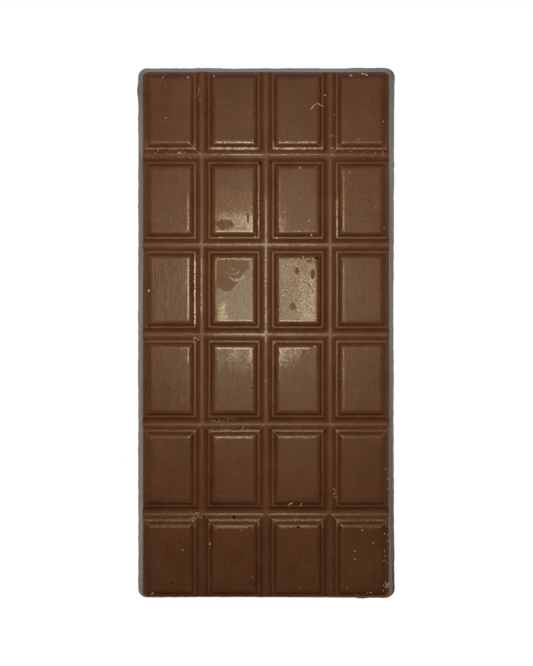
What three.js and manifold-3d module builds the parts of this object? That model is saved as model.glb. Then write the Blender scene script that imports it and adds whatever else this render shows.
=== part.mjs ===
// A moulded milk chocolate bar, 4 blocks wide and 6 long, in millimetres, +Z up.
// It lies on its flat back with the moulded side up. The origin is the middle of the back,
// X runs across the bar and Y along it.
//
// The bar is one solid. Every block is the same stepped panel: a flat face, a round slope down to a
// narrow ledge, and a second slope down to a groove with a narrow flat floor. The tapered outer
// wall trims the rims of the outer blocks, and the grooves run out through it.

import * as THREE from 'three';
import { mergeVertices } from 'three/addons/utils/BufferGeometryUtils.js';
import Module from 'manifold-3d';

// Driving dimensions
const LENGTH = 160; // along Y, at the back
const WIDTH = 77.2; // along X, at the back
const THICKNESS = 7.5; // back to face
const COLUMNS = 4;
const ROWS = 6;
const COLUMN_PITCH = 18.95;
const ROW_PITCH = 26.5;

// The outer wall leans in by this much for each millimetre of height
const WALL_TAPER = 0.35;
const BACK_CORNER_RADIUS = 2.6;
const TOP_CORNER_RADIUS = 0.9;
const WALL_CORNER_STEPS = 6;

// One side of a block, from its face down to the middle of the groove
const LEDGE_DEPTH = 1.15; // face to ledge
const GROOVE_DEPTH = 0.9; // ledge to the floor of the groove
const FACE_SLOPE_RUN = 1.45; // the slope between face and ledge, seen from above
const SLOPE_FOOT_RUN = 0.4; // how far the slope's straight foot would reach under the face
const FACE_SLOPE_STEPS = 5;
const LEDGE_WIDTH = 0.9;
const GROOVE_HALF_WIDTH = 1.65; // ledge to the middle of the groove
const GROOVE_FLOOR_HALF_WIDTH = 0.25;
const GROOVE_STEPS = 4;

// Rounding of the other rims
const LEDGE_RIM_RADIUS = 0.5;
const LEDGE_RIM_STEPS = 3;
const PANEL_CORNER_RADIUS = 0.45; // of the face, in plan
const PANEL_CORNER_STEPS = 2;

const SIDE_RUN = FACE_SLOPE_RUN + LEDGE_WIDTH + GROOVE_HALF_WIDTH;
const LEDGE_HEIGHT = THICKNESS - LEDGE_DEPTH;
const GROOVE_HEIGHT = LEDGE_HEIGHT - GROOVE_DEPTH;
// Each side of the groove is an arc from its floor to the ledge
const GROOVE_SIDE_RUN = GROOVE_HALF_WIDTH - GROOVE_FLOOR_HALF_WIDTH;
const GROOVE_RADIUS = (GROOVE_SIDE_RUN ** 2 + GROOVE_DEPTH ** 2) / (2 * GROOVE_DEPTH);

const wasm = await Module();
wasm.setup();

// The points of a corner between two others, rounded off by a curve of about the given radius.
function roundedCorner(before, corner, after, radius, steps) {
  const back = before.clone().sub(corner).normalize();
  const on = after.clone().sub(corner).normalize();
  const reach = radius * Math.tan((Math.PI - back.angleTo(on)) / 2);
  return new THREE.QuadraticBezierCurve(
    corner.clone().addScaledVector(back, reach),
    corner,
    corner.clone().addScaledVector(on, reach),
  ).getPoints(steps);
}

// The side of a block as points (distance out from the face's edge, height), groove first.
function blockSection() {
  const groove = [new THREE.Vector2(SIDE_RUN, GROOVE_HEIGHT)];
  const span = Math.asin(GROOVE_SIDE_RUN / GROOVE_RADIUS);
  for (let i = 0; i < GROOVE_STEPS; i++) {
    const angle = (span * i) / GROOVE_STEPS;
    groove.push(new THREE.Vector2(
      SIDE_RUN - GROOVE_FLOOR_HALF_WIDTH - GROOVE_RADIUS * Math.sin(angle),
      GROOVE_HEIGHT + GROOVE_RADIUS * (1 - Math.cos(angle)),
    ));
  }
  const ledgeRim = new THREE.Vector2(FACE_SLOPE_RUN + LEDGE_WIDTH, LEDGE_HEIGHT);
  const slopeFoot = new THREE.Vector2(FACE_SLOPE_RUN, LEDGE_HEIGHT);
  const faceSlope = new THREE.QuadraticBezierCurve(
    slopeFoot,
    new THREE.Vector2(FACE_SLOPE_RUN - SLOPE_FOOT_RUN, THICKNESS),
    new THREE.Vector2(0, THICKNESS),
  );
  return [
    ...groove,
    ...roundedCorner(groove.at(-1), ledgeRim, slopeFoot, LEDGE_RIM_RADIUS, LEDGE_RIM_STEPS),
    ...faceSlope.getPoints(FACE_SLOPE_STEPS),
  ];
}

// A rectangle with rounded corners as a ring of 3-D points, anticlockwise from above.
function ring(centreX, centreY, halfX, halfY, radius, height, steps) {
  const points = [];
  const corners = [[1, 1], [-1, 1], [-1, -1], [1, -1]];
  corners.forEach(([signX, signY], quarter) => {
    for (let i = 0; i <= steps; i++) {
      const angle = (quarter + i / steps) * (Math.PI / 2);
      points.push(new THREE.Vector3(
        centreX + signX * (halfX - radius) + radius * Math.cos(angle),
        centreY + signY * (halfY - radius) + radius * Math.sin(angle),
        height,
      ));
    }
  });
  return points;
}

// Triangles between two rings of the same count, facing out where the second lies above or inside.
function band(triangles, lower, upper) {
  for (let i = 0; i < lower.length; i++) {
    const next = (i + 1) % lower.length;
    triangles.push([lower[i], lower[next], upper[next]], [lower[i], upper[next], upper[i]]);
  }
}

// A flat cap over a ring, facing up or down.
function cap(triangles, points, faceUp) {
  const outline = points.map((p) => new THREE.Vector2(p.x, p.y));
  for (const [a, b, c] of THREE.ShapeUtils.triangulateShape(outline, [])) {
    triangles.push(faceUp ? [points[a], points[b], points[c]] : [points[c], points[b], points[a]]);
  }
}

// A closed solid from loose triangles: equal points are merged and flat triangles dropped.
function solid(triangles) {
  const loose = new THREE.BufferGeometry();
  const positions = triangles.flat().flatMap((p) => [p.x, p.y, p.z]);
  loose.setAttribute('position', new THREE.Float32BufferAttribute(positions, 3));
  const merged = mergeVertices(loose, 1e-4);
  const kept = [];
  for (let i = 0; i < merged.index.count; i += 3) {
    const [a, b, c] = [0, 1, 2].map((k) => merged.index.getX(i + k));
    if (a !== b && b !== c && c !== a) kept.push(a, b, c);
  }
  return new wasm.Manifold(new wasm.Mesh({
    numProp: 3,
    vertProperties: merged.attributes.position.array,
    triVerts: Uint32Array.from(kept),
  }));
}

// All the blocks side by side, with a flat margin round them and a body below the back.
function reliefSolid() {
  const triangles = [];
  const section = blockSection();
  const halfX = COLUMN_PITCH / 2 - SIDE_RUN;
  const halfY = ROW_PITCH / 2 - SIDE_RUN;
  for (let column = 0; column < COLUMNS; column++) {
    for (let row = 0; row < ROWS; row++) {
      const x = (column - (COLUMNS - 1) / 2) * COLUMN_PITCH;
      const y = (row - (ROWS - 1) / 2) * ROW_PITCH;
      const rings = section.map(({ x: out, y: height }) => {
        const radius = PANEL_CORNER_RADIUS * (1 - out / SIDE_RUN);
        return ring(x, y, halfX + out, halfY + out, radius, height, PANEL_CORNER_STEPS);
      });
      for (let i = 1; i < rings.length; i++) band(triangles, rings[i - 1], rings[i]);
      cap(triangles, rings[rings.length - 1], true);
    }
  }
  margin(triangles);
  return solid(triangles);
}

// The flat margin at groove height, whose inner edge has a point at every block's corner,
// and the sides and underside that close the relief.
function margin(triangles) {
  const reachX = (COLUMNS * COLUMN_PITCH) / 2;
  const reachY = (ROWS * ROW_PITCH) / 2;
  const spare = 10;
  const below = -5;
  const inner = [];
  const add = (x, y) => inner.push(new THREE.Vector3(x, y, GROOVE_HEIGHT));
  for (let i = 0; i < ROWS; i++) add(reachX, -reachY + i * ROW_PITCH);
  for (let i = 0; i < COLUMNS; i++) add(reachX - i * COLUMN_PITCH, reachY);
  for (let i = 0; i < ROWS; i++) add(-reachX, reachY - i * ROW_PITCH);
  for (let i = 0; i < COLUMNS; i++) add(-reachX + i * COLUMN_PITCH, -reachY);
  const outer = inner.map((p) => new THREE.Vector3(
    p.x + Math.sign(p.x) * spare * (Math.abs(p.x) > reachX - 1e-6 ? 1 : 0),
    p.y + Math.sign(p.y) * spare * (Math.abs(p.y) > reachY - 1e-6 ? 1 : 0),
    GROOVE_HEIGHT,
  ));
  const foot = outer.map((p) => new THREE.Vector3(p.x, p.y, below));
  band(triangles, outer, inner);
  band(triangles, foot, outer);
  cap(triangles, foot, false);
}

// The space inside the tapered outer wall, from the back to above the faces.
function envelopeSolid() {
  const top = THICKNESS + 1;
  const triangles = [];
  const back = ring(0, 0, WIDTH / 2, LENGTH / 2, BACK_CORNER_RADIUS, 0, WALL_CORNER_STEPS);
  const lid = ring(
    0, 0,
    WIDTH / 2 - top * WALL_TAPER, LENGTH / 2 - top * WALL_TAPER,
    TOP_CORNER_RADIUS, top, WALL_CORNER_STEPS,
  );
  cap(triangles, back, false);
  band(triangles, back, lid);
  cap(triangles, lid, true);
  return solid(triangles);
}

function toGeometry(manifold) {
  const { vertProperties, triVerts } = manifold.getMesh();
  const geometry = new THREE.BufferGeometry();
  geometry.setAttribute('position', new THREE.BufferAttribute(vertProperties, 3));
  geometry.setIndex(new THREE.BufferAttribute(triVerts, 1));
  geometry.computeVertexNormals();
  return geometry;
}

const milkChocolate = new THREE.MeshStandardMaterial({
  color: new THREE.Color().setRGB(0.36, 0.235, 0.165, THREE.SRGBColorSpace),
  roughness: 0.38,
  metalness: 0,
});

const bar = new THREE.Mesh(
  toGeometry(envelopeSolid().intersect(reliefSolid())),
  milkChocolate,
);
bar.name = 'chocolate_bar';

const model = new THREE.Group();
model.add(bar);

export default model;
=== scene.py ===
import math
import random

import bmesh
import bpy
from mathutils import Euler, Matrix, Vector, noise


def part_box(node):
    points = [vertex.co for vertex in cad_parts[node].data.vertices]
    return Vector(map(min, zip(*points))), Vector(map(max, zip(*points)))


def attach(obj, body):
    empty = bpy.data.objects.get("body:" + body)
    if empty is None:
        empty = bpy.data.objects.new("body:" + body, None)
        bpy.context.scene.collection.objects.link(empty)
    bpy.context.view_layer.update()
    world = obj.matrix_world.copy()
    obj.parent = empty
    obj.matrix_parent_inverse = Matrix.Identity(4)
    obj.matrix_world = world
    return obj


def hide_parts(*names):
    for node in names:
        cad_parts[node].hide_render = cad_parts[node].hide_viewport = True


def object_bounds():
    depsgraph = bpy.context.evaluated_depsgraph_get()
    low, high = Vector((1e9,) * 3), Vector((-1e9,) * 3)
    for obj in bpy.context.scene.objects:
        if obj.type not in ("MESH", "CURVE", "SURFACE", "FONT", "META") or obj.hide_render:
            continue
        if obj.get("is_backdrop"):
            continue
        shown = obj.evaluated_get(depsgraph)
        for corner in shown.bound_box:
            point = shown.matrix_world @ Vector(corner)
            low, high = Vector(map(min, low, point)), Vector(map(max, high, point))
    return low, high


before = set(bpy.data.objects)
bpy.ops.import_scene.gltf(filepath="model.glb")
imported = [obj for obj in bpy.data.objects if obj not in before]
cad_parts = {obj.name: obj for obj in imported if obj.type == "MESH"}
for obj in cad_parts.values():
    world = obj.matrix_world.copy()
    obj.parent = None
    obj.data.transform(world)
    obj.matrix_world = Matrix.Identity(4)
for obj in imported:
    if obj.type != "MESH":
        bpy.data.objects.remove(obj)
cad_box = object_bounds()

# The bar: milk chocolate cast in a rigid mould, 4 blocks wide and 6 long. Each block is a stepped
# panel. Its face slopes down to a narrow ledge, and the ledge to a groove with a narrow floor where
# the bar snaps. The back is the open side of the mould, scraped level, with a thin uneven lip.
# It is modelled in millimetres and brought down to metres at the end.
bar_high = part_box("chocolate_bar")[1]
MM = 0.001
HALF_WIDTH = bar_high.x / MM
HALF_LENGTH = bar_high.y / MM
THICKNESS = bar_high.z / MM
COLUMNS = 4
ROWS = 6
COLUMN_PITCH = 18.95
ROW_PITCH = 26.5
LEDGE_DEPTH = 1.15
GROOVE_DEPTH = 0.9
FACE_SLOPE_RUN = 1.45
SLOPE_FOOT_RUN = 0.4
LEDGE_WIDTH = 0.9
LEDGE_RIM_RADIUS = 0.5
SLOPE_FOOT_FILLET = 0.26
GROOVE_HALF_WIDTH = 1.65
GROOVE_FLOOR_HALF_WIDTH = 0.25
SIDE_RUN = GROOVE_HALF_WIDTH + LEDGE_WIDTH + FACE_SLOPE_RUN
MITRE_BEVEL = 0.22
BLOCK_CUTS_ACROSS = 21
BLOCK_CUTS_ALONG = 29


def pick(kind, wanted):
    """Selects just the VERT, EDGE or FACE elements of the mesh in edit mode that a rule wants."""
    bpy.ops.mesh.select_mode(type=kind)
    bpy.ops.mesh.select_all(action="DESELECT")
    data = bpy.context.edit_object.data
    mesh = bmesh.from_edit_mesh(data)
    parts = {"VERT": mesh.verts, "EDGE": mesh.edges, "FACE": mesh.faces}[kind]
    for part in parts:
        if wanted(part):
            part.select_set(True)
    mesh.select_flush_mode()
    bmesh.update_edit_mesh(data)


def cut(place, normal, trim=False):
    """Cuts all that shows in edit mode by a plane, and with trim removes what lies outside it."""
    bpy.ops.mesh.select_all(action="SELECT")
    bpy.ops.mesh.bisect(
        plane_co=place, plane_no=normal, clear_outer=trim, use_fill=trim, threshold=1e-5
    )


def curve(start, corner, end, steps):
    """The points of a curve from start to end that leaves and arrives pointing at the corner."""
    points = []
    for i in range(steps + 1):
        t = i / steps
        points.append(start * (1 - t) ** 2 + corner * 2 * t * (1 - t) + end * t ** 2)
    return points


def block_section():
    """The side of a block as (distance in from the middle of the groove, height) points."""
    side_run = GROOVE_HALF_WIDTH - GROOVE_FLOOR_HALF_WIDTH
    groove_radius = (side_run ** 2 + GROOVE_DEPTH ** 2) / (2 * GROOVE_DEPTH)
    span = math.asin(side_run / groove_radius)
    section = [Vector((0, 0))]
    for i in range(7):
        angle = span * i / 7
        section.append(Vector((
            GROOVE_FLOOR_HALF_WIDTH + groove_radius * math.sin(angle),
            groove_radius * (1 - math.cos(angle)),
        )))
    ledge_rim = Vector((GROOVE_HALF_WIDTH, GROOVE_DEPTH))
    slope_foot = ledge_rim + Vector((LEDGE_WIDTH, 0))
    face_rim = slope_foot + Vector((FACE_SLOPE_RUN, LEDGE_DEPTH))
    face_shoulder = slope_foot + Vector((SLOPE_FOOT_RUN, LEDGE_DEPTH))
    reach = LEDGE_RIM_RADIUS * math.tan(span / 2)
    section += curve(
        ledge_rim - Vector((math.cos(span), math.sin(span))) * reach,
        ledge_rim,
        ledge_rim + Vector((reach, 0)),
        5,
    )
    up_slope = (face_shoulder - slope_foot).normalized() * SLOPE_FOOT_FILLET
    section += curve(
        slope_foot - Vector((SLOPE_FOOT_FILLET, 0)), slope_foot, slope_foot + up_slope, 4
    )
    section += curve(slope_foot + up_slope, face_shoulder, face_rim, 8)[1:]
    return section


MITRE_LEAST_SLANT = 0.3  # how far from square to the block a mitre runs
MITRE_LEAST_FOLD = math.radians(14)


def mitre(edge):
    """True for an edge where two slopes of one block meet at its corner."""
    run = edge.verts[0].co - edge.verts[1].co
    slant = min(abs(run.x), abs(run.y))
    if len(edge.link_faces) != 2 or slant < MITRE_LEAST_SLANT * run.length:
        return False
    return edge.calc_face_angle() > MITRE_LEAST_FOLD


# One block out to the middle of its grooves, with softened mitres and a grid of cuts
bpy.ops.object.select_all(action="DESELECT")
bpy.ops.mesh.primitive_plane_add(size=1, enter_editmode=True)
bar = bpy.context.object
bar.name = "moulded_bar"
bpy.ops.transform.resize(value=(COLUMN_PITCH, ROW_PITCH, 1))
bpy.ops.transform.translate(value=(0, 0, THICKNESS - LEDGE_DEPTH - GROOVE_DEPTH))
section = block_section()
for outer, inner in zip(section, section[1:]):
    bpy.ops.mesh.inset(thickness=inner.x - outer.x, depth=inner.y - outer.y)
pick("EDGE", mitre)
bpy.ops.mesh.bevel(
    offset=MITRE_BEVEL, segments=3, profile=0.5, affect="EDGES", clamp_overlap=False
)
for i in range(1, BLOCK_CUTS_ACROSS):
    cut((COLUMN_PITCH * (i / BLOCK_CUTS_ACROSS - 0.5), 0, 0), (1, 0, 0))
for i in range(1, BLOCK_CUTS_ALONG):
    cut((0, ROW_PITCH * (i / BLOCK_CUTS_ALONG - 0.5), 0), (0, 1, 0))
bpy.ops.object.mode_set(mode="OBJECT")

# All the blocks side by side
for count, step in ((COLUMNS, Vector((COLUMN_PITCH, 0, 0))), (ROWS, Vector((0, ROW_PITCH, 0)))):
    bpy.ops.object.modifier_add(type="ARRAY")
    repeat = bar.modifiers[-1]
    repeat.count = count
    repeat.use_relative_offset = False
    repeat.use_constant_offset = True
    repeat.constant_offset_displace = step
    repeat.use_merge_vertices = True
    repeat.merge_threshold = 1e-3
    bpy.ops.object.modifier_apply(modifier=repeat.name)
bpy.ops.object.mode_set(mode="EDIT")
bpy.ops.mesh.select_all(action="SELECT")
bpy.ops.transform.translate(
    value=(-(COLUMNS - 1) / 2 * COLUMN_PITCH, -(ROWS - 1) / 2 * ROW_PITCH, 0)
)

# A margin, sides and a back close the chocolate below the blocks
MARGIN_GROWTH = (1.08, 1.04, 1)
pick("EDGE", lambda edge: edge.is_boundary)
bpy.ops.mesh.extrude_region_move()
bpy.ops.transform.resize(value=MARGIN_GROWTH, center_override=(0, 0, 0))
bpy.ops.mesh.extrude_region_move()
bpy.ops.transform.resize(value=(1, 1, 0), center_override=(0, 0, 0))
bpy.ops.mesh.edge_face_add()

# The tapered outer wall: flat sides, and corners that are wider at the back than at the top
WALL_TAPER = 0.35
BACK_CORNER_RADIUS = 2.6
TOP_CORNER_RADIUS = 0.9
CORNER_FACETS = 9
corner_growth = (TOP_CORNER_RADIUS - BACK_CORNER_RADIUS) / (THICKNESS + 1)
for quarter in range(4):
    for facet in range(CORNER_FACETS):
        angle = math.radians(90) * (quarter + facet / CORNER_FACETS)
        across = abs(math.cos(angle))
        along = abs(math.sin(angle))
        reach = (
            (HALF_WIDTH - BACK_CORNER_RADIUS) * across
            + (HALF_LENGTH - BACK_CORNER_RADIUS) * along
            + BACK_CORNER_RADIUS
        )
        lean = (WALL_TAPER + corner_growth) * (across + along) - corner_growth
        outward = Vector((math.cos(angle), math.sin(angle), 0))
        cut(outward * reach, Vector((outward.x, outward.y, lean)), trim=True)

# A grid of cuts on the wall and the back, so that they can be made uneven too
WALL_CUT_STEP = 1.1
WALL_CUT_HEIGHTS = (0.2, 0.5, 0.9, 1.6, 2.6, 3.6, 4.6)
WALL_TOP = 5.6  # where the grooves start
WALL_LEAST_UPWARD = 0.4  # the slopes of the blocks look further up than the wall does


def on_wall_or_back(face):
    """True for a face of the outer wall under the grooves, or of the back."""
    return face.normal.z < WALL_LEAST_UPWARD and face.calc_center_median().z < WALL_TOP


pick("FACE", on_wall_or_back)
bpy.ops.mesh.hide(unselected=True)
cuts_across = math.floor(2 * HALF_WIDTH / WALL_CUT_STEP)
cuts_along = math.floor(2 * HALF_LENGTH / WALL_CUT_STEP)
for i in range(cuts_across):
    cut((2 * HALF_WIDTH * ((i + 0.5) / cuts_across - 0.5), 0, 0), (1, 0, 0))
for i in range(cuts_along):
    cut((0, 2 * HALF_LENGTH * ((i + 0.5) / cuts_along - 0.5), 0), (0, 1, 0))
for height in WALL_CUT_HEIGHTS:
    cut((0, 0, height), (0, 0, 1))
bpy.ops.mesh.reveal(select=False)
bpy.ops.mesh.select_all(action="SELECT")
bpy.ops.mesh.remove_doubles(threshold=1e-4)
bpy.ops.mesh.normals_make_consistent(inside=False)
bpy.ops.object.mode_set(mode="OBJECT")


def unevenness(point, size, seed):
    """A smooth random value between about -1 and 1 that changes over the given size."""
    return noise.noise(point / size + Vector((seed, 0.37 * seed, 0)))


def bulging(value, stretches):
    """How far the lip bulges at a place along it, in smooth hills over the stretches."""
    total = 0
    for middle, reach, amount in stretches:
        share = min(1, abs(value - middle) / reach)
        total += amount * (1 - share * share) ** 2
    return total


# Chocolate shrinks unevenly as it sets, so that nothing is quite straight or level
SLOW_SWAY = 0.07  # how far lines wander sideways in long waves, and in short ones
QUICK_SWAY = 0.035
SLOW_SWELL = 0.06  # how far the upper side rises and falls
QUICK_SWELL = 0.012
BACK_HOLLOW = 0.05  # how far the back stays off the table inside its edge, on average
BACK_EDGE = 4  # how wide that edge is
LIP_HEIGHT = 1.0
LIP_BULGE = 0.05
LIP_TEETH = 0.09
LIP_WAVES = 0.06
# More of it in places: towards the ends of the right side, towards the right of the near end,
# and in stretches, each with its middle, its half length and how far
RIGHT_FLARE = 0.34
NEAR_FLARE = 0.22
LEFT_STRETCHES = ((72.9, 3.2, 0.3),)
FAR_STRETCHES = ((30, 12, 0.15),)
FAR_RAGGED_STRETCHES = ((-17.5, 6, 0.16),)
NEAR_STRETCHES = ((-1.6, 2, 0.18), (29, 2.4, 0.2))
for vertex in bar.data.vertices:
    place = vertex.co.copy()
    raised = place.z / THICKNESS
    vertex.co.x += SLOW_SWAY * unevenness(place, 21, 3) + QUICK_SWAY * unevenness(place, 2.6, 4)
    vertex.co.y += SLOW_SWAY * unevenness(place, 21, 5) + QUICK_SWAY * unevenness(place, 2.6, 6)
    vertex.co.z += raised * (
        SLOW_SWELL * unevenness(place, 16, 7) + QUICK_SWELL * unevenness(place, 2.2, 8)
    )
    if place.z < 1e-3:
        edge_gap = min(HALF_WIDTH - abs(place.x), HALF_LENGTH - abs(place.y))
        hollowed = min(1, edge_gap / BACK_EDGE) * BACK_HOLLOW
        vertex.co.z = hollowed * (1 + unevenness(place, 9, 9))
    # The lip bulges out where the mould was filled over its rim
    if place.z < LIP_HEIGHT:
        low = (1 - place.z / LIP_HEIGHT) ** 2
        side = LIP_BULGE + LIP_TEETH * unevenness(place, 1.7, 10)
        side += LIP_WAVES * unevenness(place, 6, 11)
        end = LIP_BULGE + LIP_TEETH * unevenness(place, 1.7, 12)
        end += LIP_WAVES * unevenness(place, 6, 13)
        if place.x > 0:
            side += RIGHT_FLARE * (place.y / HALF_LENGTH) ** 2
        else:
            side += bulging(place.y, LEFT_STRETCHES)
        if place.y > 0:
            ragged = 1 + unevenness(place, 1.3, 14)
            end += bulging(place.x, FAR_RAGGED_STRETCHES) * ragged
            end += bulging(place.x, FAR_STRETCHES)
        else:
            end += bulging(place.x, NEAR_STRETCHES)
            end += NEAR_FLARE * place.x / HALF_WIDTH
        from_side = HALF_WIDTH - abs(place.x)
        from_end = HALF_LENGTH - abs(place.y)
        if from_side < BACK_CORNER_RADIUS:
            vertex.co.x += math.copysign(side * low * (1 - from_side / BACK_CORNER_RADIUS), place.x)
        if from_end < BACK_CORNER_RADIUS:
            vertex.co.y += math.copysign(end * low * (1 - from_end / BACK_CORNER_RADIUS), place.y)

# Air bubbles that burst at the mould, and nicks and scratches, are cut out of it.
# Each bubble: its middle and radius
BUBBLE_SINK = 0.25  # how deep its middle lies, as a share of its radius
BUBBLES = (
    (-1.8, 50.7, 0.46), (1.5, 51.0, 0.34), (15.0, 22.6, 0.44), (3.6, 8.5, 0.22),
    (-9.5, -54.4, 0.46), (-4.7, -57.0, 0.3), (9.6, -57.0, 0.42), (-34.6, 1.9, 0.26),
    (-3.9, -15.7, 0.24), (-17.2, 30.6, 0.22), (-27.8, -73.3, 0.26), (-12.8, -46.4, 0.2),
    (34.9, -3.7, 0.22), (10.3, 42.1, 0.2), (2.1, -31.0, 0.18), (-21.9, -62.6, 0.2),
)
# Each scratch: its middle, length, width and direction
SCRATCH_DEPTH = 0.5  # as a share of its width
SCRATCHES = (
    (-28.9, -15.6, 3.0, 0.2, 118), (-27.0, -16.6, 4.4, 0.16, -8), (-28.6, -19.6, 3.2, 0.12, 95),
    (-26.5, -7.6, 2.2, 0.12, -40), (11.5, 15.6, 1.8, 0.18, -28), (12.7, 14.7, 1.9, 0.18, -44),
    (13.7, 13.3, 2.2, 0.18, -61),
    (6.2, -17.3, 2.2, 0.14, -12), (9.6, -17.4, 1.6, 0.14, -30), (22.2, -36.6, 5.2, 0.12, 80),
    (23.6, -41.6, 4.6, 0.12, 96), (-12.0, -32.0, 3.4, 0.1, 62), (26.5, -9.6, 2.0, 0.1, 70),
    (-37.9, -72.6, 2.0, 0.5, 52), (38.2, -74.0, 1.2, 0.7, 80), (38.4, -77.2, 1.6, 0.6, 96),
)


def top_height(x, y):
    """The height of the bar's upper surface over a point, in the units of its mesh."""
    hit, place, _, _ = bar.ray_cast(Vector((x, y, 10 * bar.dimensions.z)), Vector((0, 0, -1)))
    return place.z if hit else 0


chocolate = bpy.data.materials.new("moulded_chocolate")
bar.data.materials.append(chocolate)


def painted_shade_inside(name, colour, roughness, shine):
    """Painted shade for the inside of a bubble or a scratch: a dark colour where hardly any light
    gets down.
    """
    finish = bpy.data.materials.new(name)
    finish.use_nodes = True
    shader = finish.node_tree.nodes["Principled BSDF"]
    shader.inputs["Base Color"].default_value = colour
    shader.inputs["Roughness"].default_value = roughness
    shader.inputs["Specular IOR Level"].default_value = shine
    return finish


# The insides of bubbles and scratches get painted shade, a dark colour in place of the shade that
# falls there.
hollow_painted_shade = painted_shade_inside("painted_shade_in_hollows", (0.016, 0.007, 0.004, 1), 0.8, 0.1)
scratch_painted_shade = painted_shade_inside("painted_shade_in_scratches", (0.075, 0.034, 0.018, 1), 0.7, 0.2)

bpy.context.view_layer.update()
cutters = []
for x, y, radius in BUBBLES:
    bpy.ops.mesh.primitive_ico_sphere_add(
        subdivisions=3, radius=radius, location=(x, y, top_height(x, y) - BUBBLE_SINK * radius)
    )
    cutters.append(bpy.context.object)
    cutters[-1].data.materials.append(hollow_painted_shade)
for x, y, length, width, heading in SCRATCHES:
    bpy.ops.mesh.primitive_ico_sphere_add(
        subdivisions=3, radius=1, location=(x, y, top_height(x, y))
    )
    cutters.append(bpy.context.object)
    cutters[-1].data.materials.append(scratch_painted_shade)
    cutters[-1].scale = (length / 2, width / 2, SCRATCH_DEPTH * width)
    cutters[-1].rotation_euler.z = math.radians(heading)
bpy.ops.object.select_all(action="DESELECT")
for cutter in cutters:
    cutter.select_set(True)
bpy.context.view_layer.objects.active = cutters[0]
bpy.ops.object.join()
cutter = bpy.context.object
bpy.ops.object.select_all(action="DESELECT")
bar.select_set(True)
bpy.context.view_layer.objects.active = bar
bpy.ops.object.modifier_add(type="BOOLEAN")
hollow = bar.modifiers[-1]
hollow.operation = "DIFFERENCE"
hollow.solver = "MANIFOLD"
hollow.object = cutter
hollow.material_mode = "TRANSFER"
bpy.ops.object.modifier_apply(modifier=hollow.name)
bpy.data.objects.remove(cutter)

bpy.ops.object.mode_set(mode="EDIT")
bpy.ops.mesh.select_all(action="SELECT")
bpy.ops.transform.resize(value=(MM, MM, MM), center_override=(0, 0, 0))
bpy.ops.object.mode_set(mode="OBJECT")
SHARPEST_SMOOTH = math.radians(28)
bpy.ops.object.shade_smooth_by_angle(angle=SHARPEST_SMOOTH)
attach(bar, "root")
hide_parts("chocolate_bar")

# The chocolate: a warm brown, matte where fat has bloomed a little, and still glossy where the face
# let go of the mould cleanly. Rims and grooves keep more gloss than the faces. Some rims, edges,
# mitres and streaks also get painted highlights and painted sheen in their colour.
chocolate.use_nodes = True
tree = chocolate.node_tree


def join(tree, given, socket):
    """Sets a node's input to a number or colour, or links it to another node's output."""
    if isinstance(given, bpy.types.NodeSocket):
        tree.links.new(given, socket)
    else:
        socket.default_value = given


def calculate(operation, *given):
    """A Math node of the material that tree stands for. Its inputs are numbers or outputs."""
    step = tree.nodes.new("ShaderNodeMath")
    step.operation = operation
    for value, socket in zip(given, step.inputs):
        join(tree, value, socket)
    return step.outputs["Value"]


def ramp(given, low, high, from_value=0.0, to_value=1.0, smooth=True):
    """Goes from one value to another, and stops there, as what is given goes from low to high."""
    step = tree.nodes.new("ShaderNodeMapRange")
    step.interpolation_type = "SMOOTHSTEP" if smooth else "LINEAR"
    join(tree, given, step.inputs["Value"])
    step.inputs["From Min"].default_value = low
    step.inputs["From Max"].default_value = high
    step.inputs["To Min"].default_value = from_value
    step.inputs["To Max"].default_value = to_value
    return step.outputs["Result"]


def vector(operation, *given):
    """A Vector Math node of that material. Its inputs are vectors or outputs."""
    step = tree.nodes.new("ShaderNodeVectorMath")
    step.operation = operation
    for value, socket in zip(given, step.inputs):
        join(tree, value, socket)
    return step.outputs["Value" if operation == "LENGTH" else "Vector"]


def parts(given):
    """The X, Y and Z of a vector, as outputs."""
    step = tree.nodes.new("ShaderNodeSeparateXYZ")
    tree.links.new(given, step.inputs["Vector"])
    return step.outputs


in_metres = tree.nodes.new("ShaderNodeTexCoord").outputs["Object"]
in_mm = vector("MULTIPLY", in_metres, (1 / MM, 1 / MM, 1 / MM))


def grain(size, detail=2.0, roughness=0.5, output="Fac"):
    """A noise whose patches are about the given size across, along and up, in millimetres."""
    pattern = tree.nodes.new("ShaderNodeTexNoise")
    pattern.inputs["Scale"].default_value = 1
    pattern.inputs["Detail"].default_value = detail
    pattern.inputs["Roughness"].default_value = roughness
    spread = vector("MULTIPLY", in_mm, [1 / part for part in size])
    tree.links.new(spread, pattern.inputs["Vector"])
    return pattern.outputs[output]


def from_face(coordinate, pitch):
    """How far a point lies outside the face of its block, along one axis, in millimetres."""
    share = calculate("FRACT", calculate("DIVIDE", coordinate, pitch))
    from_middle = calculate("ABSOLUTE", calculate("SUBTRACT", share, 0.5))
    return calculate("MULTIPLY_ADD", from_middle, pitch, SIDE_RUN - pitch / 2)


# Places with uneven edges are looked up through a slight wobble
wobble = vector("SUBTRACT", grain((1.3, 1.3, 1.3), detail=3, output="Color"), (0.5, 0.5, 0.5))
uneven_place = vector("MULTIPLY_ADD", wobble, (0.8, 0.8, 0), in_mm)
outside_across = from_face(parts(in_mm)["X"], COLUMN_PITCH)
outside_along = from_face(parts(in_mm)["Y"], ROW_PITCH)
outside = calculate("MAXIMUM", outside_across, outside_along)
above_grooves = ramp(parts(in_mm)["Z"], 5.5, 6.0)
on_face = calculate("MULTIPLY", ramp(outside, -0.2, 0.15, 1.0, 0.0), above_grooves)


def oval(middle, half_size, soft=0.15):
    """1 inside an oval over the bar and 0 outside it."""
    offset = vector("SUBTRACT", uneven_place, (*middle, 0))
    share = vector("MULTIPLY", offset, (1 / half_size[0], 1 / half_size[1], 0))
    return ramp(vector("LENGTH", share), 1 - soft, 1 + soft, 1.0, 0.0)


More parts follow.
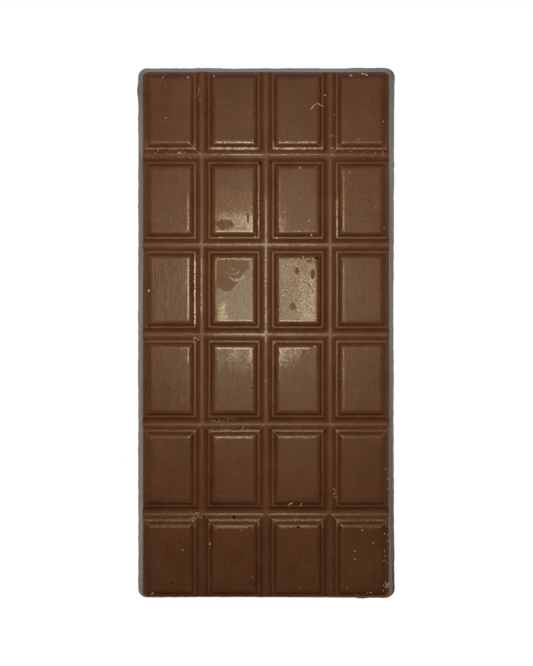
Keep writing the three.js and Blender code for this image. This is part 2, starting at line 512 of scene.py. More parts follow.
def left_of(point, heading):
    """1 on the left of a line over the bar through a point, at an angle in degrees."""
    turn = math.radians(heading)
    offset = parts(vector("SUBTRACT", uneven_place, (*point, 0)))
    along = calculate("MULTIPLY", offset["X"], -math.sin(turn))
    return ramp(calculate("MULTIPLY_ADD", offset["Y"], math.cos(turn), along), -0.15, 0.25)


# Broad areas are painted on the mesh as a strength for each point. In every list an area is a
# box: its middle, its half size and how strong it is.
CLEAR_SKIN = (  # where a face let go of the mould cleanly
    ((9.475, 13.25), (5.7, 9.5), 0.2), ((12.4, 11.5), (2.8, 8.0), 0.25),
    ((-9.475, 13.25), (5.7, 9.5), 0.24), ((-9.475, 31.0), (5.7, 1.2), 0.25),
    ((-8.4, 33.2), (4.6, 3.2), 0.2), ((-5.2, 33.0), (1.2, 3.4), 0.45),
    ((-9.475, -13.0), (5.6, 9.3), 0.07), ((-9.475, -5.2), (5.5, 1.0), 0.03),
    ((-9.0, -5.6), (1.0, 2.0), 0.18), ((-4.6, -6.2), (0.8, 2.6), 0.22),
    ((5.0, -6.0), (1.2, 2.6), 0.08), ((9.475, -15.0), (5.6, 7.3), 0.03),
    ((4.4, -10.0), (0.6, 5.0), 0.15), ((-28.5, 13.25), (5.6, 9.4), 0.05),
    ((-25.0, 18.5), (0.7, 4.0), 0.2), ((-12.5, 6.5), (1.2, 2.6), 0.4),
    ((-24.2, 35.4), (1.0, 4.6), 0.13), ((24.0, 38.0), (0.9, 5.0), 0.1),
)
BORDER_CRUST = (  # cocoa butter smeared along the very border of a face
    ((9.475, 4.0), (5.6, 1.2), 1.0), ((15.0, 11.5), (1.2, 8.0), 0.75),
    ((9.475, 22.6), (5.6, 1.2), 0.6), ((3.8, 13.25), (1.2, 9.3), 0.4),
    ((-9.475, 4.0), (5.6, 1.2), 0.9), ((-15.0, 19.0), (1.2, 3.4), 0.95),
    ((-15.0, 12.0), (1.2, 8.0), 0.55), ((-9.475, 22.6), (5.6, 1.2), 0.75),
    ((-3.9, 13.25), (1.2, 9.3), 0.55), ((-9.475, 30.4), (5.6, 1.2), 0.85),
    ((-3.9, 33.0), (1.2, 3.0), 0.95), ((-15.0, 34.0), (1.2, 4.0), 0.65),
    ((-3.9, 38.0), (1.2, 4.0), 0.45), ((3.8, 39.0), (1.2, 8.0), 0.6),
    ((9.475, 30.4), (5.4, 1.2), 0.5), ((15.1, 32.5), (1.2, 2.4), 0.5),
    ((-9.475, -4.0), (5.6, 1.2), 0.9), ((8.5, -4.0), (4.8, 1.2), 0.85),
    ((-23.0, 13.25), (1.2, 9.3), 0.9), ((-24.0, -4.0), (2.0, 1.2), 0.8),
    ((-23.0, -6.4), (1.2, 2.4), 0.8), ((22.9, -13.0), (1.2, 9.0), 0.65),
    ((3.8, -9.0), (1.2, 5.0), 0.6), ((-3.9, -9.0), (1.2, 5.0), 0.6),
    ((-9.475, 56.6), (5.6, 1.2), 0.75), ((9.475, 56.6), (5.6, 1.2), 0.5),
    ((-28.4, 56.6), (5.6, 1.2), 0.45), ((-9.475, -30.4), (5.6, 1.2), 0.75),
    ((9.475, -30.4), (5.6, 1.2), 0.5), ((-9.475, -56.6), (5.6, 1.2), 0.9),
    ((9.475, -56.6), (5.6, 1.2), 0.65), ((28.4, -56.6), (5.6, 1.2), 0.5),
    ((-28.4, -56.6), (5.6, 1.2), 0.45), ((-23.0, 36.2), (1.2, 5.6), 0.8),
    ((22.9, 39.0), (1.2, 8.5), 0.75), ((22.9, 12.0), (1.2, 8.5), 0.5),
)
SPECKLE = (  # loose grains of it further in
    ((14.0, 12.5), (1.1, 8.0), 0.75), ((12.4, 10.5), (2.6, 7.0), 0.5),
    ((12.9, 5.4), (2.2, 1.6), 0.75), ((9.475, 13.25), (5.6, 9.4), 0.28),
    ((-12.9, 6.4), (1.1, 2.4), 0.85), ((-4.4, 32.6), (0.9, 2.6), 0.95),
    ((-9.0, 33.4), (5.0, 2.4), 0.5), ((5.0, 32.0), (1.0, 2.2), 0.35),
    ((-4.4, -6.0), (0.8, 2.2), 0.8), ((-9.0, -5.4), (1.0, 1.8), 0.5),
    ((4.4, -5.6), (0.9, 2.4), 0.75), ((7.5, -5.8), (2.8, 1.6), 0.4),
    ((-14.2, 19.0), (0.8, 3.0), 0.6), ((-9.475, 38.0), (5.6, 5.0), 0.22),
)
CURLED = (  # where it dried in curls
    ((-9.475, -6.4), (5.4, 1.7), 0.65), ((6.6, -7.0), (2.6, 3.0), 1.0),
    ((-9.475, 33.6), (5.4, 2.6), 0.7), ((4.9, 33.6), (1.0, 3.8), 0.8),
    ((-4.9, 39.0), (1.0, 4.0), 0.6), ((11.0, -5.2), (3.4, 0.9), 0.7),
)
# Each of these rims keeps a real gloss and also gets a painted sheen, a pale colour laid on it.
RIM_GLOSS_AND_SHEEN = (  # slopes, ledges and grooves that kept their gloss
    ((-9.475, 55.3), (6.6, 1.9), 1.0), ((9.475, 55.3), (7.5, 1.9), 0.7),
    ((-28.4, 55.3), (7.5, 1.9), 0.35), ((28.4, 55.3), (7.5, 1.9), 0.35),
    ((-4.5, 53.0), (4.2, 0.9), 0.7), ((0, -54.9), (18.0, 2.2), 0.36),
    ((-28.0, -54.9), (8.0, 2.2), 0.4), ((28.0, -54.9), (8.0, 2.2), 0.4),
    ((-21.1, 13.0), (0.9, 9.6), 0.9), ((-19.0, 14.0), (0.8, 8.0), 0.6),
    ((-2.3, 40.0), (0.9, 10.0), 0.5), ((0, 20.0), (1.2, 22.0), 0.5),
    ((-9.475, -30.0), (6.5, 1.2), 0.45), ((9.475, -30.0), (6.5, 1.2), 0.3),
    ((0, 26.5), (30.0, 1.1), 0.3), ((-8.0, 0.2), (7.6, 0.9), 0.6), ((12.0, 0.2), (9.0, 0.9), 0.25),
    ((21.0, 35.0), (0.9, 5.6), 0.5),
)


PAINT_SOFTNESS = 0.5  # how far out from its box an area fades away
PAINT_WANDER = 0.5  # how far its outline strays
PAINT_LEAST_HEIGHT = 1  # the back and the lip stay bare


def strongest(place, areas):
    """The strongest of the areas over a point, in millimetres, with soft edges."""
    strength = 0
    for middle, half_size, amount in areas:
        gap = max(abs(place.x - middle[0]) - half_size[0], abs(place.y - middle[1]) - half_size[1])
        strength = max(strength, amount * min(1, PAINT_SOFTNESS - gap))
    return strength


def painted(name, areas):
    """Paints the areas on the bar's upper side and gives the output that reads them."""
    paint = bar.data.attributes.new(name, "FLOAT", "POINT")
    for point, vertex in zip(paint.data, bar.data.vertices):
        place = vertex.co / MM
        place.x += PAINT_WANDER * unevenness(place, 2.1, 20)
        place.y += PAINT_WANDER * unevenness(place, 2.1, 21)
        point.value = strongest(place, areas) if place.z > PAINT_LEAST_HEIGHT else 0
    reader = tree.nodes.new("ShaderNodeAttribute")
    reader.attribute_name = name
    return reader.outputs["Fac"]


STREAKED = (  # skin pulled into upright streaks
    ((-28.4, 13.25), (5.5, 9.2), 1.0), ((-9.475, -12.0), (5.5, 8.4), 0.9),
    ((-9.475, 40.0), (5.5, 8.0), 0.45), ((-28.4, -13.25), (5.5, 9.2), 0.4),
    ((9.475, 38.0), (5.5, 8.0), 0.3), ((9.475, -13.0), (5.5, 9.2), 0.35),
    ((28.4, 13.25), (5.5, 9.2), 0.25),
)
MITRE_PAINTED_HIGHLIGHT = (  # corners of a panel whose mitre gets a painted highlight line, pale and glossy
    ((-21.1, 54.9), (2.6, 2.6), 1.0), ((-22.2, -56.0), (1.4, 1.4), 0.9),
    ((21.7, -55.1), (2.5, 2.5), 1.0), ((2.4, 54.9), (2.4, 2.4), 0.4),
    ((-2.6, 28.2), (2.4, 2.4), 0.5), ((-2.6, 1.8), (2.4, 2.4), 0.4),
    ((0, -28.6), (37.0, 2.4), 0.55), ((0, -55.0), (37.0, 2.4), 0.6), ((0, 55.0), (37.0, 2.4), 0.3),
)

# Dull spots, where the skin stuck to the mould: the middle, half size and strength of each
DULL_SPOTS = (
    ((9.2, 18.9), (0.7, 0.95), 1.0), ((13.9, 17.8), (0.75, 1.5), 1.0),
    ((7.9, 8.2), (1.0, 1.0), 0.8), ((12.9, 21.8), (0.9, 0.4), 0.9),
    ((-12.1, 32.5), (2.5, 1.5), 1.0), ((-5.3, 34.6), (0.4, 1.6), 1.0),
    ((-5.6, 21.0), (0.5, 0.9), 0.8), ((-13.3, 18.4), (0.6, 3.0), 0.6),
)
clear = painted("clear_skin", CLEAR_SKIN)
dull = 0.0
for middle, half_size, strength in DULL_SPOTS:
    dull = calculate("MAXIMUM", dull, calculate("MULTIPLY", oval(middle, half_size), strength))
# On one block the skin is torn off above a slanting line, and folded there in thin crescents
torn = calculate("MULTIPLY", left_of((-8.7, 15.0), 52), oval((-10.2, 17.9), (6.2, 5.2), 0.08))
torn = calculate("MULTIPLY", torn, on_face)
dull = calculate("MAXIMUM", calculate("MULTIPLY", dull, on_face), calculate("MULTIPLY", torn, 0.9))
clear = calculate("MULTIPLY", clear, calculate("SUBTRACT", 1.0, dull))
CRESCENTS = (
    # middle, half size, and how thick the crescent is
    ((-9.8, 19.0), (2.0, 1.3), 0.26),
    ((-8.7, 17.9), (2.4, 2.1), 0.75),
    ((-10.0, 19.6), (0.5, 0.4), 0.2),
)
for middle, half_size, thickness in CRESCENTS:
    upper = (middle[0] - 0.4 * thickness, middle[1] + thickness)
    crescent = calculate("SUBTRACT", oval(middle, half_size), oval(upper, half_size))
    clear = calculate("MAXIMUM", clear, calculate("MULTIPLY", crescent, 0.5))

grains = grain((0.42, 0.42, 0.42), detail=3, roughness=0.7)
border = calculate(
    "MULTIPLY", ramp(outside, -0.62, -0.15), ramp(outside, 0.05, 0.3, 1.0, 0.0)
)
crust_and_painted_highlights = calculate("MULTIPLY", painted("border_crust", BORDER_CRUST), border)
film = calculate("MULTIPLY", painted("speckle", SPECKLE), on_face)
film = calculate("MULTIPLY", film, calculate("SUBTRACT", 1.0, dull))
film = calculate("MULTIPLY", film, ramp(grains, 0.38, 0.62, 0.45, 1.5))
crust_and_painted_highlights = calculate("MAXIMUM", crust_and_painted_highlights, film)
crust_and_painted_highlights = ramp(calculate("MULTIPLY_ADD", crust_and_painted_highlights, 0.36, grains), 0.7, 0.79)
# Near some ends it dried in fine curls
swirl = grain((1.3, 1.7, 1.3), detail=2)
curls = ramp(calculate("ABSOLUTE", calculate("SUBTRACT", swirl, 0.5)), 0.008, 0.04, 1.0, 0.0)
curls = calculate("MULTIPLY", curls, calculate("MULTIPLY", painted("curled", CURLED), on_face))
crust_and_painted_highlights = calculate("MAXIMUM", crust_and_painted_highlights, calculate("MULTIPLY", curls, ramp(grains, 0.4, 0.55)))
# Rims with gloss: a real coat, and a painted sheen in their colour
rim = calculate("MULTIPLY", painted("rim_gloss_and_painted_sheen", RIM_GLOSS_AND_SHEEN), ramp(outside, -0.3, 0.05))
rim_grains = grain((0.7, 0.7, 0.7), detail=3, roughness=0.6)
rim = calculate("MULTIPLY", rim, ramp(rim_grains, 0.4, 0.54))
hidden = calculate("MULTIPLY", ramp(outside, 0.3, 0.6), ramp(outside, 1.3, 1.5, 1.0, 0.0))
rim = calculate("MULTIPLY", rim, calculate("MULTIPLY_ADD", hidden, -0.75, 1.0))
# A painted highlight along some mitres: a pale thin line, glossy too
off_mitre = calculate("ABSOLUTE", calculate("SUBTRACT", outside_across, outside_along))
painted_mitre_highlight = calculate("MULTIPLY", ramp(off_mitre, 0.08, 0.26, 1.0, 0.0), ramp(outside, -0.2, 0.1))
painted_mitre_highlight = calculate("MULTIPLY", painted_mitre_highlight, painted("mitre_painted_highlight", MITRE_PAINTED_HIGHLIGHT))
painted_mitre_highlight = calculate("MULTIPLY", painted_mitre_highlight, ramp(rim_grains, 0.3, 0.45))
crust_and_painted_highlights = calculate("MAXIMUM", crust_and_painted_highlights, painted_mitre_highlight)
# Painted highlights: pale thin lines along the face and ledge edges of the glossy rims
face_edge = calculate(
    "MULTIPLY", ramp(outside, -0.18, -0.04), ramp(outside, 0.1, 0.24, 1.0, 0.0)
)
ledge_edge = calculate(
    "MULTIPLY", ramp(outside, 1.5, 1.65), ramp(outside, 1.95, 2.1, 1.0, 0.0)
)
edges = calculate("MULTIPLY", calculate("ADD", face_edge, ledge_edge), ramp(grains, 0.4, 0.54))
painted_edge_highlights = calculate("MULTIPLY", rim, edges)
crust_and_painted_highlights = calculate("MAXIMUM", crust_and_painted_highlights, painted_edge_highlights)

# Fine streaks run along the faces, and slow changes over the whole bar
streaks = grain((0.45, 6, 1), detail=3, roughness=0.65)
cloud = grain((13, 13, 13))
fine = grain((0.9, 0.9, 0.9), detail=4, roughness=0.6)
clear = calculate("MULTIPLY", clear, ramp(calculate("ADD", streaks, fine), 0.75, 1.2, 0.7, 1.3))
clear = calculate("MULTIPLY", clear, ramp(grains, 0.38, 0.62, 0.72, 1.28))
pulled = calculate("MULTIPLY", painted("streaked", STREAKED), ramp(streaks, 0.49, 0.6))
pulled = calculate("MULTIPLY", pulled, on_face)
clear = calculate("MULTIPLY_ADD", pulled, 0.09, clear)
coat = calculate("MAXIMUM", calculate("MULTIPLY", clear, on_face), rim)
coat = calculate("MAXIMUM", coat, calculate("MULTIPLY", crust_and_painted_highlights, 0.75))
ROUGHNESS = 0.325
rough = calculate("MULTIPLY_ADD", calculate("SUBTRACT", streaks, 0.5), 0.1, ROUGHNESS)
rough = calculate("MULTIPLY_ADD", calculate("SUBTRACT", cloud, 0.5), 0.1, rough)
rough = calculate("MULTIPLY_ADD", coat, -0.06, rough)
rough = calculate("MULTIPLY_ADD", dull, 0.13, rough)


def tinted(under, colour, amount):
    """Lays a colour over another, as strongly as the amount says."""
    step = tree.nodes.new("ShaderNodeMix")
    step.data_type = "RGBA"
    join(tree, under, step.inputs["A"])
    join(tree, colour, step.inputs["B"])
    join(tree, amount, step.inputs["Factor"])
    return step.outputs["Result"]


DARK_BROWN = (0.1, 0.034, 0.016, 1)
LIGHT_BROWN = (0.131, 0.049, 0.0225, 1)
FACE_BROWN = (0.106, 0.0335, 0.011, 1)
PATCH_BROWN = (0.082, 0.024, 0.0085, 1)
STREAK_GREY_PAINTED_SHEEN = (0.2, 0.128, 0.095, 1)
TORN_BROWN = (0.19, 0.106, 0.05, 1)
BLOOM_HAZE = (0.17, 0.115, 0.07, 1)
BUTTER_FILM = (0.26, 0.13, 0.05, 1)
BUTTER_CRUST_AND_HIGHLIGHT = (0.26, 0.135, 0.058, 1)
RIM_PAINTED_SHEEN = (0.27, 0.15, 0.075, 1)
EDGE_PAINTED_HIGHLIGHT = (0.55, 0.39, 0.24, 1)
mottling = calculate("MULTIPLY_ADD", grains, 0.6, calculate("MULTIPLY_ADD", cloud, 0.35, fine))
colour = tinted(DARK_BROWN, LIGHT_BROWN, ramp(mottling, 0.8, 1.15))
colour = tinted(colour, FACE_BROWN, calculate("MULTIPLY", on_face, 0.5))
patches = grain((7, 9, 7), detail=3)
colour = tinted(colour, PATCH_BROWN, ramp(patches, 0.44, 0.64, 0.0, 0.4))
# Painted grey sheen on the pulled streaks, over their real gloss
colour = tinted(colour, STREAK_GREY_PAINTED_SHEEN, calculate("MULTIPLY", pulled, 0.25))
colour = tinted(colour, TORN_BROWN, calculate("MULTIPLY", torn, 0.3))
haze = ramp(calculate("MULTIPLY_ADD", cloud, 0.5, streaks), 0.6, 1.0, 0.0, 0.08)
haze = calculate("MULTIPLY", haze, on_face)
colour = tinted(colour, BLOOM_HAZE, haze)
colour = tinted(colour, BUTTER_FILM, calculate("MULTIPLY", film, 0.55))
# Cocoa butter crust and grains, and also the painted highlight lines on mitres and edges, in one
# pale colour
colour = tinted(colour, BUTTER_CRUST_AND_HIGHLIGHT, calculate("MULTIPLY", crust_and_painted_highlights, 0.9))
# Painted sheen on the glossy rims
colour = tinted(colour, RIM_PAINTED_SHEEN, calculate("MULTIPLY", rim, 0.25))
# Painted highlight lines along those edges
colour = tinted(colour, EDGE_PAINTED_HIGHLIGHT, calculate("MULTIPLY", painted_edge_highlights, 0.7))

RELIEF_DEPTH = 0.00003  # in metres
height = calculate("MULTIPLY_ADD", streaks, calculate("MULTIPLY", on_face, 0.6), fine)
height = calculate("MULTIPLY_ADD", grains, 0.9, height)
relief = tree.nodes.new("ShaderNodeBump")
relief.inputs["Strength"].default_value = 1.0
relief.inputs["Distance"].default_value = RELIEF_DEPTH
join(tree, height, relief.inputs["Height"])

shader = tree.nodes["Principled BSDF"]
join(tree, colour, shader.inputs["Base Color"])
join(tree, rough, shader.inputs["Roughness"])
join(tree, coat, shader.inputs["Coat Weight"])
shader.inputs["Coat Roughness"].default_value = 0.12
shader.inputs["Specular Tint"].default_value = (1.0, 0.975, 0.89, 1)
tree.links.new(relief.outputs["Normal"], shader.inputs["Normal"])

# Loose bits of chocolate that rubbed off in the pack and settled on the bar: pale crumbs, long
# slivers and one curled shaving. One rough crumb is modelled and copied, each copy squeezed and
# turned its own way.
CRUMB_HALF_HEIGHT = 0.11
CRUMB_TILT = 0.1
CRUMB_REST = 0.3  # how high its middle lies, as a share of its half height
dice = random.Random(11)
bpy.ops.object.select_all(action="DESELECT")
bpy.ops.mesh.primitive_uv_sphere_add(
    segments=7, ring_count=5, radius=1.1, enter_editmode=True
)
rough_crumb = bpy.context.object
bpy.ops.mesh.select_all(action="SELECT")
bpy.ops.transform.vertex_random(offset=0.3, uniform=0.2, normal=0.6, seed=5)
bpy.ops.object.mode_set(mode="OBJECT")


def laid(x, y, size, heading):
    """A copy of the crumb on the bar. The place and the half sizes are in millimetres."""
    crumb = rough_crumb.copy()
    crumb.data = rough_crumb.data.copy()
    bpy.context.collection.objects.link(crumb)
    crumb.scale = Vector(size) * MM
    tilt = [dice.uniform(-CRUMB_TILT, CRUMB_TILT) for _ in range(2)]
    crumb.rotation_euler = Euler((*tilt, heading))
    crumb.location = (x * MM, y * MM, top_height(x * MM, y * MM) + CRUMB_REST * size[2] * MM)
    return crumb


def joined(name, copies, finish):
    """Makes one piece of the copies, with its place in its mesh, and lays it on the bar."""
    bpy.ops.object.select_all(action="DESELECT")
    for crumb in copies:
        crumb.select_set(True)
    bpy.context.view_layer.objects.active = copies[0]
    bpy.ops.object.join()
    bpy.ops.object.transform_apply(location=True, rotation=True, scale=True)
    piece = bpy.context.object
    piece.name = name
    piece.data.materials.clear()
    piece.data.materials.append(finish)
    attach(piece, "root")


# Broken chocolate is paler than the moulded skin and quite dull
CRUMB_BROWN = (0.24, 0.13, 0.062, 1)
CRUMB_CREAM = (0.58, 0.42, 0.27, 1)
SHADES_PER_MM = 1.3
crumbled = bpy.data.materials.new("crumbled_chocolate")
crumbled.use_nodes = True
tree = crumbled.node_tree
place = tree.nodes.new("ShaderNodeTexCoord")
shades = tree.nodes.new("ShaderNodeTexNoise")
shades.inputs["Scale"].default_value = SHADES_PER_MM / MM
tree.links.new(place.outputs["Object"], shades.inputs["Vector"])
paler = ramp(shades.outputs["Fac"], 0.35, 0.6)
colour = tinted(CRUMB_BROWN, CRUMB_CREAM, paler)
shader = tree.nodes["Principled BSDF"]
tree.links.new(colour, shader.inputs["Base Color"])
shader.inputs["Roughness"].default_value = 0.5

# Single specks: x, y and half width of each
SPECKS = (
    (10.1, 49.4, 0.34), (24.7, 47.9, 0.2), (22.6, 47.9, 0.18), (29.4, 34.5, 0.18),
    (32.4, 37.5, 0.16), (27.3, 57.7, 0.2), (34.7, 63.0, 0.2), (35.0, 31.5, 0.2),
    (17.5, 71.0, 0.2), (3.2, 28.6, 0.24), (13.5, 29.5, 0.28), (-29.6, 64.0, 0.18),
    (-30.5, 76.1, 0.18), (-23.1, 76.1, 0.24), (-15.4, 76.4, 0.24), (-4.7, 65.7, 0.18),
    (28.5, -57.8, 0.26), (31.8, -61.6, 0.2), (26.4, -64.0, 0.22), (26.3, -66.4, 0.2),
    (35.0, -64.0, 0.24), (35.6, -40.0, 0.2), (10.1, -75.0, 0.2), (30.0, -76.5, 0.26),
    (27.0, -77.4, 0.2), (-24.6, -63.7, 0.2), (-4.0, -71.7, 0.2), (-16.6, -62.2, 0.2),
    (-7.4, -57.8, 0.2), (-13.5, 26.6, 0.2), (11.0, 22.9, 0.2), (-5.3, -9.7, 0.2),
    (-0.3, -14.0, 0.22), (14.5, -3.6, 0.3), (-34.6, 13.0, 0.3), (25.2, 76.5, 0.42),
    (34.9, -67.0, 0.2), (35.0, -59.0, 0.2), (35.2, -65.6, 0.2), (24.0, -74.6, 0.2),
    (2.6, -2.6, 0.2), (6.4, -2.4, 0.18), (5.9, -4.0, 0.16), (-3.2, 28.9, 0.18),
)
specks = []
for x, y, radius in SPECKS:
    length = radius * dice.uniform(1.0, 1.5)
    size = (length, radius, CRUMB_HALF_HEIGHT)
    specks.append(laid(x, y, size, dice.uniform(0, 2 * math.pi)))
joined("specks", specks, crumbled)

# Crumbs lie scattered in clusters: the box they fill, how many, and their usual half width
CLUSTERS = (
    (-35.2, -19.6, 52.3, 55.3, 44, 0.09), (21.1, 35.3, 53.3, 54.8, 24, 0.1),
    (19.4, 21.0, 53.0, 55.0, 12, 0.1), (-17.5, -4.7, -28.6, -27.6, 22, 0.11),
    (-16.8, -11.0, -26.2, -25.7, 10, 0.12), (-17.5, -4.7, -25.2, -25.0, 8, 0.13),
    (-22.5, -19.0, -55.1, -53.0, 16, 0.13), (-20.3, -19.4, 69.0, 74.0, 12, 0.1),
    (19.4, 20.4, 54.7, 72.5, 10, 0.12), (20.1, 21.0, -49.2, -44.7, 10, 0.15),
    (36.0, 36.9, -77.0, -8.0, 14, 0.13), (-21.6, -19.5, -2.0, -0.8, 8, 0.22),
    (34.6, 36.9, -76.0, -72.9, 12, 0.12), (35.3, 36.6, -75.2, -73.7, 16, 0.2),
    (-36.0, -20.0, 57.0, 76.0, 3, 0.08),
    (-20.0, 36.0, -77.0, -56.0, 8, 0.08), (4.0, 36.0, 28.0, 76.0, 6, 0.08),
)
crumbs = []
for x_low, x_high, y_low, y_high, count, usual in CLUSTERS:
    for i in range(count):
        x = dice.uniform(x_low, x_high)
        y = dice.uniform(y_low, y_high)
        width = usual * dice.uniform(0.6, 1.4)
        size = (width * dice.uniform(1.0, 1.8), width, min(CRUMB_HALF_HEIGHT, width))
        crumbs.append(laid(x, y, size, dice.uniform(0, 2 * math.pi)))
joined("crumbs", crumbs, crumbled)

# Slivers: from where to where each one lies, and its half width
SLIVERS = (
    (6.3, -50.8, 8.1, -49.6, 0.2), (10.0, -51.3, 10.7, -49.8, 0.2),
    (28.2, 77.4, 29.3, 77.3, 0.2), (29.3, 77.3, 30.3, 76.5, 0.22),
    (-34.2, -77.4, -33.2, -76.3, 0.3), (12.0, 33.2, 13.4, 34.2, 0.12),
    (-26.4, 54.0, -25.0, 53.8, 0.14), (30.6, -76.2, 31.6, -76.6, 0.16),
    (-14.4, 28.8, -12.4, 28.7, 0.17),
)
SLIVER_REST = 0.05
SLIVER_LIFT = 0.12  # one that spans a slope clears its bulge, by this share of its rise
slivers = []
for x_start, y_start, x_end, y_end, radius in SLIVERS:
    start = Vector((x_start, y_start, top_height(x_start * MM, y_start * MM) / MM + SLIVER_REST))
    end = Vector((x_end, y_end, top_height(x_end * MM, y_end * MM) / MM + SLIVER_REST))
    size = ((end - start).length / 2, radius, CRUMB_HALF_HEIGHT)
    sliver = laid(x_start, y_start, size, 0)
    sliver.rotation_euler = (end - start).to_track_quat("X", "Z").to_euler()
    sliver.location = (start + end) / 2 * MM
    sliver.location.z += SLIVER_LIFT * MM * abs(end.z - start.z)
    slivers.append(sliver)
joined("slivers", slivers, crumbled)
bpy.data.objects.remove(rough_crumb)

# The curled shaving is a ribbon on its edge, drawn out point by point and then thickened
CURL = (
    (13.5, 66.7), (14.0, 67.6), (14.7, 68.2), (15.3, 68.4), (15.8, 68.2), (16.1, 67.7),
    (16.4, 68.0), (16.7, 67.4), (17.0, 67.6), (17.3, 67.5),
)
CURL_HEIGHT = 0.14
CURL_THICKNESS = 0.28
CURL_START = 0.3  # the first straight bit of it, along X
curl_x, curl_y = CURL[0]
foot = top_height(curl_x * MM, curl_y * MM) / MM
bpy.ops.object.select_all(action="DESELECT")
bpy.ops.mesh.primitive_plane_add(size=1, enter_editmode=True)
curl = bpy.context.object
curl.name = "curled_shaving"
bpy.ops.transform.resize(value=(CURL_START, CURL_HEIGHT, 1))
bpy.ops.transform.rotate(
    value=math.radians(90), orient_axis="X", center_override=(0, 0, 0)
)
bpy.ops.transform.translate(value=(curl_x - CURL_START / 2, curl_y, foot + CURL_HEIGHT / 2))
pick("VERT", lambda vertex: abs(vertex.co.x - curl_x) < 1e-3)
for here, there in zip(CURL, CURL[1:]):
    bpy.ops.mesh.extrude_region_move(
        TRANSFORM_OT_translate={"value": (there[0] - here[0], there[1] - here[1], 0)}
    )
bpy.ops.mesh.select_all(action="SELECT")
bpy.ops.transform.resize(value=(MM, MM, MM), center_override=(0, 0, 0))
bpy.ops.object.mode_set(mode="OBJECT")
bpy.ops.object.modifier_add(type="SOLIDIFY")
curl.modifiers[-1].thickness = CURL_THICKNESS * MM
curl.modifiers[-1].offset = 0
bpy.ops.object.modifier_apply(modifier=curl.modifiers[-1].name)
bpy.ops.object.modifier_add(type="SUBSURF")
curl.modifiers[-1].levels = 2
curl.modifiers[-1].render_levels = 2
bpy.ops.object.modifier_apply(modifier=curl.modifiers[-1].name)
bpy.ops.object.shade_smooth()
curl.data.materials.append(crumbled)
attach(curl, "root")

# The floor: a plain white glow to the camera, brighter than any shadow that the bar could throw on
# it. The bar itself sees a glow in place of white paper, with painted light on it: a painted pool
# of light that grows dim away from the lamp, painted shade past the near end and towards the right,
# a painted cool light past the far end and a painted warm light past the near end.
FLOOR_SIZE = 6
PAPER_WHITE = (1.0, 0.97, 0.93, 1)
PAINTED_COOL_LIGHT = (0.98, 1.08, 1.25, 1)
PAINTED_WARM_LIGHT = (1.0, 0.5, 0.24, 1)
bpy.ops.object.select_all(action="DESELECT")
bpy.ops.mesh.primitive_plane_add(size=FLOOR_SIZE)
floor = bpy.context.object
floor.name = "floor"
white = bpy.data.materials.new("white_floor")
white.use_nodes = True
tree = white.node_tree
tree.nodes.clear()
output = tree.nodes.new("ShaderNodeOutputMaterial")
seen = tree.nodes.new("ShaderNodeLightPath")
spot = tree.nodes.new("ShaderNodeTexCoord").outputs["Object"]
to_right = parts(spot)["X"]
to_far_end = parts(spot)["Y"]
# Painted light: bright round the middle and dim further out, with painted shade past the near end
# and towards the right
painted_paper_light = ramp(vector("LENGTH", spot), 0.05, 0.16, 0.85, 0.05)
painted_paper_light = calculate("MULTIPLY", painted_paper_light, ramp(to_far_end, -0.084, -0.078, 0.5, 1.0))
painted_paper_light = calculate("MULTIPLY", painted_paper_light, ramp(to_right, 0.03, 0.05, 1.0, 0.82, smooth=False))
past_far_end = ramp(to_far_end, 0.07, 0.085, smooth=False)
past_near_end = ramp(to_far_end, -0.078, -0.084, smooth=False)
# Painted cool light past the far end and painted warm light past the near end
painted_light_colour = tinted(PAPER_WHITE, PAINTED_COOL_LIGHT, past_far_end)
painted_light_colour = tinted(painted_light_colour, PAINTED_WARM_LIGHT, past_near_end)
# The glow that the bar sees in place of the lit paper
paper = tree.nodes.new("ShaderNodeEmission")
tree.links.new(painted_light_colour, paper.inputs["Color"])
tree.links.new(painted_paper_light, paper.inputs["Strength"])
glow = tree.nodes.new("ShaderNodeEmission")
glow.inputs["Color"].default_value = (1, 1, 1, 1)
mix = tree.nodes.new("ShaderNodeMixShader")
tree.links.new(seen.outputs["Is Camera Ray"], mix.inputs["Fac"])
tree.links.new(paper.outputs["Emission"], mix.inputs[1])
tree.links.new(glow.outputs["Emission"], mix.inputs[2])
tree.links.new(mix.outputs["Shader"], output.inputs["Surface"])
floor.data.materials.append(white)
floor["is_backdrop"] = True

# The light: a warm lamp close above the bar, a soft panel that only the gloss shows, and a faint
# cool window beyond the far end.
bpy.ops.object.light_add(type="AREA", location=(-0.005, 0.036, 0.215))
lamp = bpy.context.object
lamp.name = "warm_lamp"
lamp.data.shape = "SQUARE"
lamp.data.size = 0.05
lamp.data.color = (1.0, 0.96, 0.76)
lamp.data.energy = 0.4
lamp.visible_camera = False
lamp.visible_glossy = False

bpy.ops.object.light_add(type="AREA", location=(-0.002, 0.004, 0.319))
panel = bpy.context.object
panel.name = "gloss_panel"
panel.data.shape = "RECTANGLE"
panel.data.size = 0.065
panel.data.size_y = 0.095
panel.data.color = (1.0, 0.96, 0.73)
panel.data.energy = 0.165
panel.visible_camera = False
panel.visible_diffuse = False

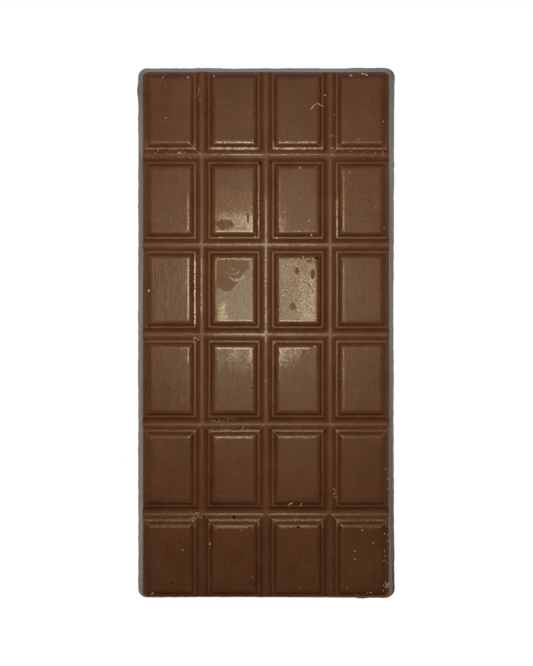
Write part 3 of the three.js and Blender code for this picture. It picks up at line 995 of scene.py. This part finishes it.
bpy.ops.object.light_add(
    type="AREA", location=(0, 0.17, 0.3), rotation=(math.radians(-28), 0, 0)
)
window = bpy.context.object
window.name = "cool_window"
window.data.shape = "SQUARE"
window.data.size = 0.12
window.data.color = (0.45, 1.0, 1.0)
window.data.energy = 0.036
window.visible_camera = False

world = bpy.data.worlds.new("room")
bpy.context.scene.world = world
world.use_nodes = True
tree = world.node_tree
room = tree.nodes["Background"]
room.inputs["Color"].default_value = (0.03, 0.03, 0.03, 1)
backdrop = tree.nodes.new("ShaderNodeBackground")
backdrop.inputs["Color"].default_value = (1, 1, 1, 1)
seen = tree.nodes.new("ShaderNodeLightPath")
mix = tree.nodes.new("ShaderNodeMixShader")
tree.links.new(seen.outputs["Is Camera Ray"], mix.inputs["Fac"])
tree.links.new(room.outputs["Background"], mix.inputs[1])
tree.links.new(backdrop.outputs["Background"], mix.inputs[2])
tree.links.new(mix.outputs["Shader"], tree.nodes["World Output"].inputs["Surface"])

# The camera looks straight down. Its lens is shifted so that the bar sits low in the frame.
FRAME_WIDTH_PX = 533
FRAME_HEIGHT_PX = 666
AXIS_PX = (265.9, 256.8)  # where the camera's axis meets the frame
SCALE_PX_PER_MM = 3.303  # at the height of the floor
CAMERA_HEIGHT_MM = 320
AXIS_MM = (0, 23.0)  # the point of the floor under the camera
SENSOR_MM = 36
bpy.ops.object.camera_add(
    location=(
        (AXIS_MM[0] + (FRAME_WIDTH_PX / 2 - AXIS_PX[0]) / SCALE_PX_PER_MM) * MM,
        AXIS_MM[1] * MM,
        CAMERA_HEIGHT_MM * MM,
    ),
    rotation=(0, 0, 0),
)
camera = bpy.context.object
camera.data.sensor_width = SENSOR_MM
camera.data.lens = SENSOR_MM * CAMERA_HEIGHT_MM / (FRAME_HEIGHT_PX / SCALE_PX_PER_MM)
camera.data.shift_y = (AXIS_PX[1] - FRAME_HEIGHT_PX / 2) / FRAME_HEIGHT_PX
camera.data.clip_start = 0.01
camera.data.clip_end = 20
bpy.context.scene.camera = camera
bpy.context.scene.view_settings.view_transform = "Standard"

size = {
    "cad": [list(corner) for corner in cad_box],
    "visual": [list(corner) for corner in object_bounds()],
}
